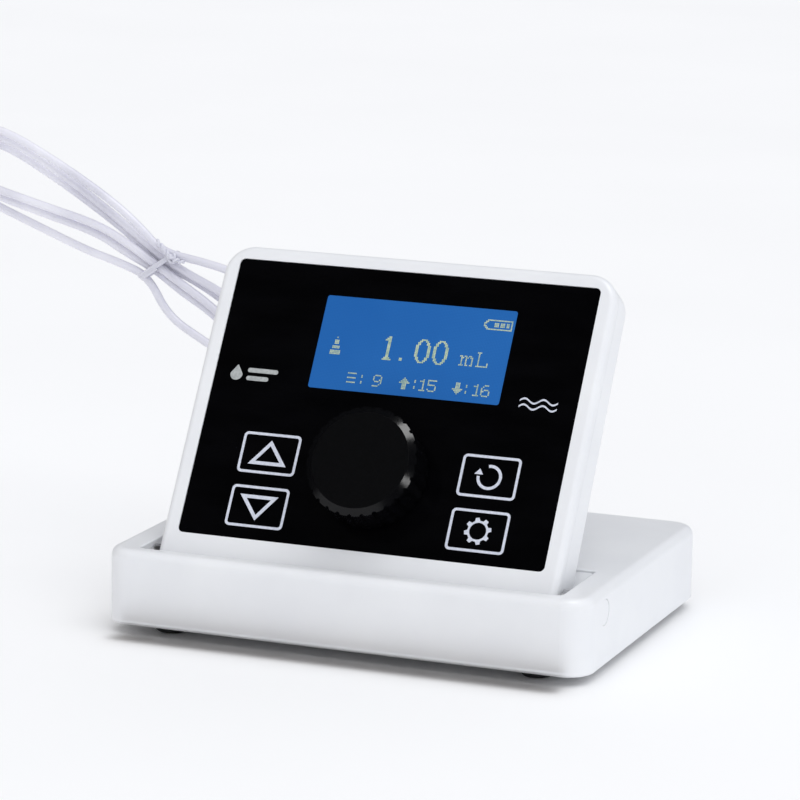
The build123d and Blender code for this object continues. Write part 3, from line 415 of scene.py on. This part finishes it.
def make_materials():
    """One material for each of the part's slots, and the display's dots and the printed marks."""
    return {
        "white_plastic": moulded(
            "white_moulding", (0.80, 0.81, 0.835), (0.835, 0.845, 0.865), (0.34, 0.44), soft=0.05),
        "plate_plastic": moulded(
            "base_plate_moulding", (0.70, 0.71, 0.73), (0.76, 0.77, 0.79), (0.45, 0.6)),
        "rubber": moulded(
            "foot_rubber", (0.012, 0.012, 0.013), (0.022, 0.022, 0.024), (0.7, 0.85),
            grain=1400.0, depth=0.00005),
        "steel": metal("turned_steel", (0.5, 0.5, 0.51), (0.66, 0.66, 0.67), (0.22, 0.34), (1, 12, 12)),
        "frame_steel": metal(
            "plated_sheet", (0.62, 0.62, 0.62), (0.74, 0.74, 0.73), (0.26, 0.38), (3, 14, 3)),
        "motor_can": metal("drawn_can", (0.4, 0.4, 0.42), (0.55, 0.55, 0.56), (0.3, 0.42), (1, 10, 10)),
        "alloy": metal("anodised_alloy", (0.68, 0.69, 0.71), (0.78, 0.79, 0.8), (0.32, 0.42), (2, 8, 8)),
        "brass": metal("turned_brass", (0.62, 0.44, 0.18), (0.76, 0.57, 0.27), (0.22, 0.34), (1, 12, 12)),
        "bush_plastic": moulded("acetal", (0.72, 0.70, 0.62), (0.78, 0.76, 0.68), (0.4, 0.5)),
        "seal": moulded("seal_rubber", (0.015, 0.015, 0.016), (0.03, 0.03, 0.03), (0.5, 0.65)),
        "barrel_glass": clear_glass("barrel_glass", (0.9, 0.96, 0.97), (0.02, 0.06)),
        "port_plastic": moulded(
            "port_moulding", (0.72, 0.74, 0.73), (0.80, 0.82, 0.80), (0.3, 0.42), soft=0.05),
        "dark_plastic": moulded("dark_moulding", (0.018, 0.018, 0.02), (0.03, 0.03, 0.033), (0.4, 0.55)),
        "panel_plastic": moulded(
            "panel_moulding", (0.66, 0.67, 0.70), (0.72, 0.73, 0.76), (0.45, 0.6), grain=1700.0),
        "rocker_black": moulded(
            "rocker_moulding", (0.012, 0.012, 0.013), (0.02, 0.02, 0.022), (0.22, 0.32)),
        "battery_wrap": moulded("battery_wrap", (0.04, 0.09, 0.22), (0.06, 0.12, 0.27), (0.3, 0.4)),
        "board": circuit_board(),
        "lens_black": gloss_black("lens_gloss", (0.05, 0.11)),
        "key_black": gloss_black("key_gloss", (0.07, 0.14)),
        "knob_black": knob_black(),
        "display_blue": display_blue(),
        "display_glass": clear_glass("display_glass", (0.5, 0.65, 0.85), (0.03, 0.08)),
        "backlight": moulded("diffuser", (0.78, 0.8, 0.83), (0.86, 0.88, 0.9), (0.5, 0.6)),
        "cord_white": moulded(
            "cord_sheath", (0.70, 0.695, 0.775), (0.84, 0.835, 0.90), (0.3, 0.42),
            grain=900.0, depth=0.00003, soft=0.12),
        "tie_white": moulded(
            "tie_film", (0.70, 0.70, 0.78), (0.82, 0.82, 0.88), (0.2, 0.35),
            grain=500.0, depth=0.00008, soft=0.1),
        "plug_white": moulded(
            "plug_moulding", (0.74, 0.74, 0.77), (0.80, 0.80, 0.83), (0.38, 0.5), soft=0.05),
        "dots": lit_marks(),
        "white_ink": printed("white_ink", (0.55, 0.58, 0.68), (0.68, 0.71, 0.80)),
        "grey_ink": printed("grey_ink", (0.34, 0.36, 0.36), (0.46, 0.48, 0.48)),
    }


def dress_nodes(materials):
    """Give every CAD node the material of its slot."""
    slots = {part["node"]: part["material_slot"] for part in frame["record"]["subparts"]}
    for name, piece in frame["nodes"].items():
        for holder in piece.material_slots:
            holder.material = materials[slots[name]]


# ---- camera, light and floor ----


def make_camera():
    a, e, r = (math.radians(value) for value in (CAM_AZIMUTH, CAM_ELEVATION, CAM_ROLL))
    back = Vector((math.sin(a) * math.cos(e), -math.cos(a) * math.cos(e), math.sin(e)))
    level = Vector((math.cos(a), math.sin(a), 0))
    upright = back.cross(level)
    right = math.cos(r) * level + math.sin(r) * upright
    up = -math.sin(r) * level + math.cos(r) * upright
    data = bpy.data.cameras.new("camera")
    data.lens, data.sensor_width = CAM_LENS, CAM_SENSOR
    data.clip_end = CAM_FAR
    camera = bpy.data.objects.new("camera", data)
    bpy.context.scene.collection.objects.link(camera)
    turn = Matrix((right, up, back)).transposed().to_4x4()
    camera.matrix_world = Matrix.Translation(CAM_TARGET + back * CAM_DISTANCE) @ turn
    bpy.context.scene.camera = camera


def area_light(name, place, size, power, for_gloss, along):
    """A soft light aimed at the object: either only gloss meets it, or everything but gloss does."""
    data = bpy.data.lights.new(name, "AREA")
    data.shape = "RECTANGLE"
    data.size, data.size_y = size
    data.energy = power
    light = bpy.data.objects.new(name, data)
    light.visible_diffuse, light.visible_glossy = not for_gloss, for_gloss
    light.location = place
    back = (Vector(place) - LIGHT_AIM).normalized()
    up = back.cross(Vector(along)).normalized()
    light.rotation_euler = Matrix((up.cross(back), up, back)).transposed().to_euler()
    bpy.context.scene.collection.objects.link(light)


def make_world():
    """White all round, warmer and dimmer on the left, and dim in reflections, like a dark studio."""
    world = bpy.data.worlds.new("studio")
    bpy.context.scene.world = world
    world.use_nodes = True
    nodes, links = world.node_tree.nodes, world.node_tree.links
    background = nodes["Background"]
    coords = nodes.new("ShaderNodeTexCoord")
    parts = nodes.new("ShaderNodeSeparateXYZ")
    links.new(coords.outputs["Generated"], parts.inputs["Vector"])
    side = nodes.new("ShaderNodeMapRange")
    side.inputs["From Min"].default_value = -1.0
    side.inputs["From Max"].default_value = 0.2
    links.new(parts.outputs["X"], side.inputs["Value"])
    shade = ramp(nodes, links, side.outputs["Result"], (0.50, 0.47, 0.44), (0.89, 0.91, 0.945), at=(0.0, 0.8))
    links.new(shade, background.inputs["Color"])
    paths = nodes.new("ShaderNodeLightPath")
    level = nodes.new("ShaderNodeMapRange")
    level.inputs["To Min"].default_value = 1.0
    level.inputs["To Max"].default_value = GLOSS_WORLD
    links.new(paths.outputs["Is Glossy Ray"], level.inputs["Value"])
    links.new(level.outputs["Result"], background.inputs["Strength"])


def make_floor():
    bm = bmesh.new()
    for x, y in ((FLOOR_LEFT, FLOOR_FRONT), (FLOOR_RIGHT, FLOOR_FRONT), (FLOOR_RIGHT, FLOOR_BACK),
                 (FLOOR_LEFT, FLOOR_BACK)):
        bm.verts.new((x, y, -FLOOR_DROP))
    bm.faces.new(bm.verts)
    material, nodes, links, shader = blank("floor_paper")
    fibres = noise(nodes, links, object_place(nodes, links), scale=4.0)
    paper = ramp(nodes, links, fibres, (0.945, 0.945, 0.95), (0.96, 0.96, 0.965))
    links.new(paper, shader.inputs["Base Color"])
    shader.inputs["Roughness"].default_value = 0.9
    shader.inputs["Specular IOR Level"].default_value = 0.1
    new_object("floor", bm, material)


def make_lights():
    data = bpy.data.lights.new("sky_window", "SUN")
    data.energy = SUN_STRENGTH
    data.angle = math.radians(SUN_WIDTH)
    sun = bpy.data.objects.new("sky_window", data)
    sun.rotation_euler = Vector(SUN_FROM).to_track_quat("Z", "Y").to_euler()
    sun.visible_glossy = False
    bpy.context.scene.collection.objects.link(sun)
    for light in AREA_LIGHTS:
        area_light(*light)


def make_shade():
    """A narrow dark card low in front of the base, to deepen its shadow. Only soft light meets it."""
    bm = bmesh.new()
    corners = ((-SHADE_HALF_X, SHADE_FRONT), (SHADE_HALF_X, SHADE_FRONT), (SHADE_HALF_X, SHADE_BACK),
               (-SHADE_HALF_X, SHADE_BACK))
    bm.faces.new([bm.verts.new((x, y, SHADE_Z)) for x, y in corners])
    material, nodes, links, shader = blank("shade_cloth")
    weave = noise(nodes, links, object_place(nodes, links), scale=300.0)
    cloth = ramp(nodes, links, weave, (0.10, 0.075, 0.055), (0.14, 0.11, 0.085))
    links.new(cloth, shader.inputs["Base Color"])
    shader.inputs["Roughness"].default_value = 1.0
    shader.inputs["Specular IOR Level"].default_value = 0.0
    shade = new_object("shade", bm, material)
    shade.visible_camera = shade.visible_glossy = False


# ---- cord ----


def hank_axes(place):
    """A place of the hank's middle line, and its directions along the hank and above it (x, z)."""
    before, after = HANK_LINE[max(place - 1, 0)], HANK_LINE[min(place + 1, len(HANK_LINE) - 1)]
    along = Vector((after[0] - before[0], after[1] - before[1])).normalized()
    return Vector(HANK_LINE[place]), along, Vector((-along.y, along.x))


def hank_point(place, rise, depth, beyond=0.0):
    """A point over a place of the middle line, at a depth, and further along the line if asked."""
    spot, along, above = hank_axes(place)
    flat = spot + above * rise + along * beyond
    return Vector((flat.x, depth, flat.y)) * MM


def hank_route():
    """Six runs up and down the hank, each joined to the next by a round fold."""
    points = []
    last = len(HANK_LINE) - 1
    for run in range(len(HANK_RISES)):
        outward = run % 2 == 0
        first_place = last - 1 if run == 0 else last
        places = range(first_place, -1, -1) if outward else range(last + 1)
        if run == len(HANK_RISES) - 1:
            places = range(last)
        points += [hank_point(k, HANK_RISES[run][k], HANK_DEPTHS[run][k]) for k in places]
        if run + 1 < len(HANK_RISES):
            end = 0 if outward else last
            here, there = HANK_RISES[run][end], HANK_RISES[run + 1][end]
            middle, half = (here + there) / 2, (here - there) / 2
            beyond = abs(half) * (FOLD_REACH if end else -FOLD_REACH)
            depth = (HANK_DEPTHS[run][end] + HANK_DEPTHS[run + 1][end]) / 2
            points += [hank_point(end, middle + side * half * FOLD_SIDE, depth, beyond) for side in (1, -1)]
    return points


def tube_curve(name, points, radius, material):
    """A round tube along a smooth curve that its points pull on."""
    data = bpy.data.curves.new(name, "CURVE")
    data.dimensions = "3D"
    data.bevel_depth = radius
    data.bevel_resolution = 6
    data.use_fill_caps = True
    data.resolution_u = 8
    spline = data.splines.new("NURBS")
    spline.points.add(len(points) - 1)
    for slot, point in zip(spline.points, points):
        slot.co = (*point, 1.0)
    spline.order_u = 3
    spline.use_endpoint_u = True
    piece = bpy.data.objects.new(name, data)
    bpy.context.scene.collection.objects.link(piece)
    data.materials.append(material)
    return piece


def make_tie(material):
    """A thin film tie: a slanting band round the bundle, a small knot and three twisted ends."""
    centre = hank_point(TIE_PLACE, 0, TIE_DEPTH)
    up = (hank_point(TIE_PLACE, 1, TIE_DEPTH) - centre).normalized()
    along = Vector((0, 1, 0)).cross(up)
    near = Vector((0, -1, 0))

    turns, steps = [], 48
    for i in range(steps + 1):
        a = 2 * math.pi * (TIE_TURNS * i / steps - TIE_START)
        slant = TIE_MIDDLE + TIE_SLANT * math.sin(a) + TIE_ADVANCE * (i / steps - 0.5)
        turns.append(centre + (up * TIE_HALF_HEIGHT * math.sin(a) + near * TIE_HALF_DEPTH * math.cos(a)
                               + along * slant) * MM)
    band = tube_curve("lead_tie_band", turns, TIE_BAND_R * MM, material)

    knot_place = centre + (up * KNOT_UP + near * KNOT_NEAR + along * KNOT_ALONG) * MM
    loop, steps = [], 30
    for i in range(steps + 1):
        a = 2 * math.pi * i / steps
        r = KNOT_R + KNOT_WAVE * math.cos(3 * a)
        loop.append(knot_place + (up * r * math.cos(2 * a) + along * r * math.sin(2 * a)
                                  + near * KNOT_DEPTH * math.sin(3 * a)) * MM)
    knot = tube_curve("lead_tie_knot", loop, FILM_R * MM, material)

    ends, steps = [], 12
    for k, (rise, run, phase) in enumerate(TIE_ENDS):
        coil = []
        for i in range(steps + 1):
            s = i / steps
            twist = 2 * END_TWISTS * math.pi * s + phase
            coil.append(knot_place + (up * (rise * s + END_COIL_R * math.sin(twist)) + along * run * s
                                      + near * (END_NEAR + END_COIL_R * math.cos(twist))) * MM)
        ends.append(tube_curve(f"lead_tie_end_{k + 1}", coil, FILM_R * MM, material))
    return [band, knot, *ends]


def make_cord(materials):
    route = [Vector(p) * MM for p in LEAD_ROUTE] + hank_route() + [Vector(p) * MM for p in TAIL_ROUTE]
    lead = tube_curve("power_lead", route, CORD_D / 2 * MM, materials["cord_white"])
    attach(lead, "base")
    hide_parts("cord_lead", "cord_hank", "cord_tail")
    tie = make_tie(materials["tie_white"])
    for piece in tie:
        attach(piece, "base")
    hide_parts("cord_tie")


# ---- marks on the head ----


def ride_mark(piece, body):
    """Let a mark move with its body."""
    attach(piece, body)


def make_key_marks(materials):
    """On each key a thin frame, and in it a triangle, a turn arrow or a gear."""
    frame_width, frame_radius, hole_radius = 0.85, 1.5, 0.75
    triangle_width = 1.15
    triangles = {
        "key_up": [(-42.9, 29.6), (-29.9, 29.6), (-36.4, 37.9)],
        "key_down": [(-29.9, 19.5), (-42.9, 19.5), (-36.3, 11.2)],
    }
    low, high = FACE_N, FACE_N + INK
    for name, (body, (x0, v0, x1, v1)) in KEYS.items():
        bm = bmesh.new()
        rim = rounded_rect(x0, v0, x1, v1, frame_radius)
        hole = rounded_rect(x0 + frame_width, v0 + frame_width, x1 - frame_width, v1 - frame_width,
                            hole_radius)
        ring_plate(bm, rim, hole, low, high)
        if name in triangles:
            ring_plate(bm, triangles[name], grown(triangles[name], -triangle_width), low, high)
        elif name == "key_back":
            turn_mark(bm, 37.4, 33.2, low, high)
        else:
            gear_mark(bm, 37.3, 15.6, low, high)
        bmesh.ops.recalc_face_normals(bm, faces=bm.faces)
        ride_mark(new_object(f"{name}_print", bm, materials["white_ink"]), body)


def turn_mark(bm, cx, cv, low, high):
    """Most of a ring, with an arrowhead at its start, on the left."""
    outer, inner, steps = 4.1, 3.15, 40
    start, end = 178.0, 463.0
    angles = [math.radians(start + (end - start) * i / steps) for i in range(steps + 1)]
    rim = [(cx + outer * math.cos(a), cv + outer * math.sin(a)) for a in angles]
    hole = [(cx + inner * math.cos(a), cv + inner * math.sin(a)) for a in reversed(angles)]
    plate(bm, rim + hole, low, high)
    middle = (outer + inner) / 2
    half, lean, foot, tip = 1.45, 0.15, 0.7, 2.6
    arrow = [(cx - middle - half, cv + foot), (cx - middle + half, cv + foot),
             (cx - middle + lean, cv + tip)]
    plate(bm, arrow, low, high)


def gear_mark(bm, cx, cv, low, high):
    """A ring with eight short teeth."""
    teeth, turn = 8, 0.25
    root_r, tip_r, hole_r = 3.45, 4.4, 2.75
    root, tip = 0.30, 0.17
    rim, hole = [], []
    for i in range(teeth):
        for share, radius in ((-root, root_r), (-tip, tip_r), (tip, tip_r), (root, root_r)):
            a = 2 * math.pi * (i + share + turn) / teeth
            rim.append((cx + radius * math.cos(a), cv + radius * math.sin(a)))
            hole.append((cx + hole_r * math.cos(a), cv + hole_r * math.sin(a)))
    ring_plate(bm, rim, hole, low, high)


# The display's marks, in rows of dots: the large digits, the small ones, and two pictures.
BIG = {
    "1": ["...##...", "..###...", ".####...", "...##...", "...##...", "...##...", "...##...", "...##...",
          "...##...", "...##...", "...##...", "...##...", "...##...", "...##...", "..####..", ".######."],
    "0": ["...####...", "..##..##..", ".##....##.", ".##....##.", "##......##", "##......##", "##......##",
          "##......##", "##......##", "##......##", "##......##", "##......##", ".##....##.", ".##....##.",
          "..##..##..", "...####..."],
    ".": ["##", "##"],
}
SMALL = {
    "m": [".........", ".........", ".........", "##.##.##.", ".##.##.##", ".#..#...#", ".#..#...#",
          ".#..#...#", ".#..#...#", "###.##.##"],
    "L": ["###.....", ".#......", ".#......", ".#......", ".#......", ".#......", ".#......", ".#.....#",
          ".#.....#", "########"],
    "9": [".####.", "#....#", "#....#", "#...##", ".###.#", ".....#", "....#.", "####.."],
    "1": ["..#.", "###.", "..#.", "..#.", "..#.", "..#.", "..#.", "####"],
    "5": ["######", "#.....", "#.....", "#####.", ".....#", ".....#", "#....#", ".####."],
    "6": ["..###.", ".#....", "#.....", "#.###.", "##...#", "#....#", "#....#", ".####."],
    ":": [".", "#", "#", ".", ".", "#", "#", "."],
    "up": ["...#...", "..###..", ".#####.", "#######", "..###..", "..###..", "..###..", "..###.."],
    "down": ["..###..", "..###..", "..###..", "..###..", "#######", ".#####.", "..###..", "...#..."],
    "lines": ["######", "......", "......", "######", "......", "......", "######", "......"],
}
BATTERY = ["..#################", ".##...............#", "##.....###.###.##.#", "#......###.###.##.#",
           "##.....###.###.##.#", ".##...............#", "..#################"]
STAND = ["....#....", ".........", "...###...", "...###...", "...###...", ".........", "..#####..",
         "..#####..", ".........", ".#######.", ".#######.", ".#######."]


def dots(bm, rows, left, top, share=DOT_SHARE):
    """Square dots for a picture in rows, from its top left corner on the head's face (mm)."""
    side = DOT * share
    for r, row in enumerate(rows):
        for c, mark in enumerate(row):
            if mark == "#":
                x, v = left + c * DOT, top - r * DOT
                square = [(x, v - side), (x + side, v - side), (x + side, v), (x, v)]
                plate(bm, square, FACE_N - DOT_DEPTH, FACE_N)


def make_display_marks(materials):
    """A volume and its unit, three counters in a row below, a battery and a small stand."""
    digit_top, point_top, unit_top, counter_top = 76.2, 69.4, 73.6, 63.0
    bm = bmesh.new()
    for mark, left in (("1", -6.6), ("0", 4.4), ("0", 10.4)):
        dots(bm, BIG[mark], left, digit_top, BIG_DOT_SHARE)
    dots(bm, BIG["."], -0.4, point_top, BIG_DOT_SHARE)
    for mark, left in (("m", 19.6), ("L", 25.2)):
        dots(bm, SMALL[mark], left, unit_top)
    counters = (("lines", -16.2), (":", -11.5), ("9", -7.4),
                ("up", 1.4), (":", 6.4), ("1", 8.3), ("5", 10.9),
                ("down", 19.2), (":", 23.6), ("1", 26.2), ("6", 28.7))
    for mark, left in counters:
        dots(bm, SMALL[mark], left, counter_top)
    dots(bm, BATTERY, 25.2, 84.8)
    dots(bm, STAND, -24.4, 74.5)
    ride_mark(new_object("display_dots", bm, materials["dots"]), "head")


def drop_outline():
    """A drop: a half ellipse below, and a tall, narrowing top."""
    drop_x, drop_v, half_width, above, below, taper = -53.6, 59.0, 2.1, 3.1, 2.1, 0.75
    steps = 24
    outline = []
    for i in range(steps):
        a = 2 * math.pi * i / steps
        tall = above if math.sin(a) > 0 else below
        wide = half_width * (1 - taper * max(math.sin(a), 0))
        outline.append((drop_x + wide * math.cos(a), drop_v + tall * math.sin(a)))
    return outline


def wave_outline(lift):
    """A thin band along two periods of a wave."""
    wave_x, wave_v, wave_length, swing, half = 42.0, 57.2, 12.5, 0.75, 0.3
    periods, steps = 2, 32
    top, bottom = [], []
    for i in range(steps + 1):
        x = wave_x + wave_length * i / steps
        v = wave_v + lift + swing * math.sin(2 * math.pi * periods * i / steps)
        top.append((x, v + half))
        bottom.append((x, v - half))
    return bottom + top[::-1]


def make_print(materials):
    """Generic print: a grey drop and two grey bars on the left, and two small white waves on the right."""
    low, high = FACE_N, FACE_N + INK
    drop, bars, waves = bmesh.new(), bmesh.new(), bmesh.new()
    plate(drop, drop_outline(), low, high)
    bar_left, bar_half, bar_corner = -50.0, 0.75, 0.74
    for v, bar_right in ((60.6, -39.6), (57.9, -42.4)):
        plate(bars, rounded_rect(bar_left, v - bar_half, bar_right, v + bar_half, bar_corner), low, high)
    for lift in (0.0, 2.0):
        plate(waves, wave_outline(lift), low, high)
    bmesh.ops.recalc_face_normals(waves, faces=waves.faces)
    for name, bm, ink in (("drop_print", drop, "grey_ink"), ("bar_print", bars, "grey_ink"),
                          ("wave_print", waves, "white_ink")):
        ride_mark(new_object(name, bm, materials[ink]), "head")


def main():
    bpy.context.scene.view_settings.view_transform = "Standard"
    materials = make_materials()
    make_camera()
    make_cord(materials)
    make_world()
    make_floor()
    make_lights()
    make_shade()
    dress_nodes(materials)
    make_key_marks(materials)
    make_display_marks(materials)
    make_print(materials)


main()
